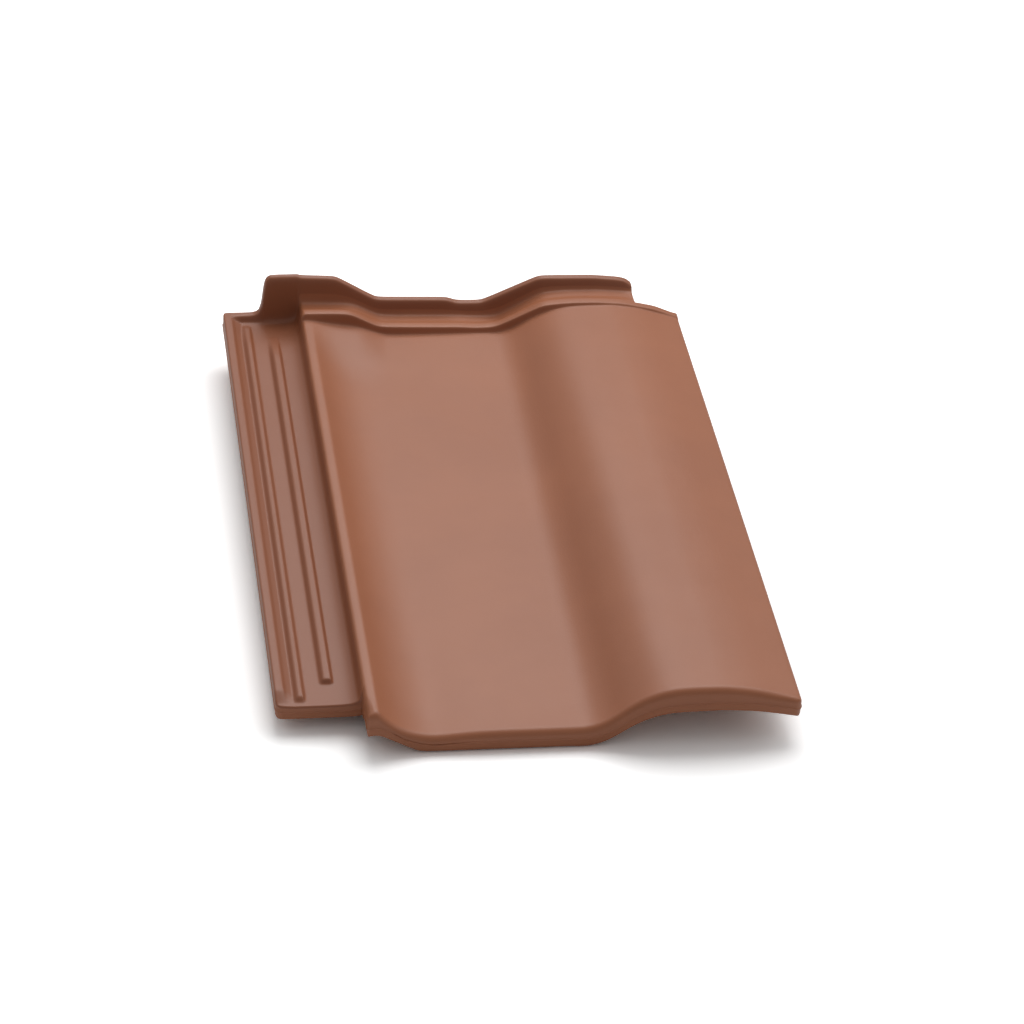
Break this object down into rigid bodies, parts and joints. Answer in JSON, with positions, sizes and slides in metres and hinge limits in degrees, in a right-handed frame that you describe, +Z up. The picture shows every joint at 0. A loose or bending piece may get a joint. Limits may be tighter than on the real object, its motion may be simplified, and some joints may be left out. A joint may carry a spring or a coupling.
{
  "type": "verge tile",
  "caption": "Interlocking fired-clay roof tile for the right verge: flat pan, raised roll with a plain free edge, side lock on the left and head lock along the top.",
  "frame": {"origin": "bottom centre of the bounding box, on the floor the tile lies on", "axes": "+X across the tile from the side lock to the roll's free edge, +Y along the tile from the foot (eaves end) to the head (ridge end), +Z up, out of the weathered face; the tile lies unheld on its foot nose and its two nibs"},
  "size_m": [0.3, 0.4508, 0.0641],
  "materials": {
    "clay": "satin"
  },
  "bodies": {
    "root": {"verge_tile": "clay"}
  },
  "joints": []
}
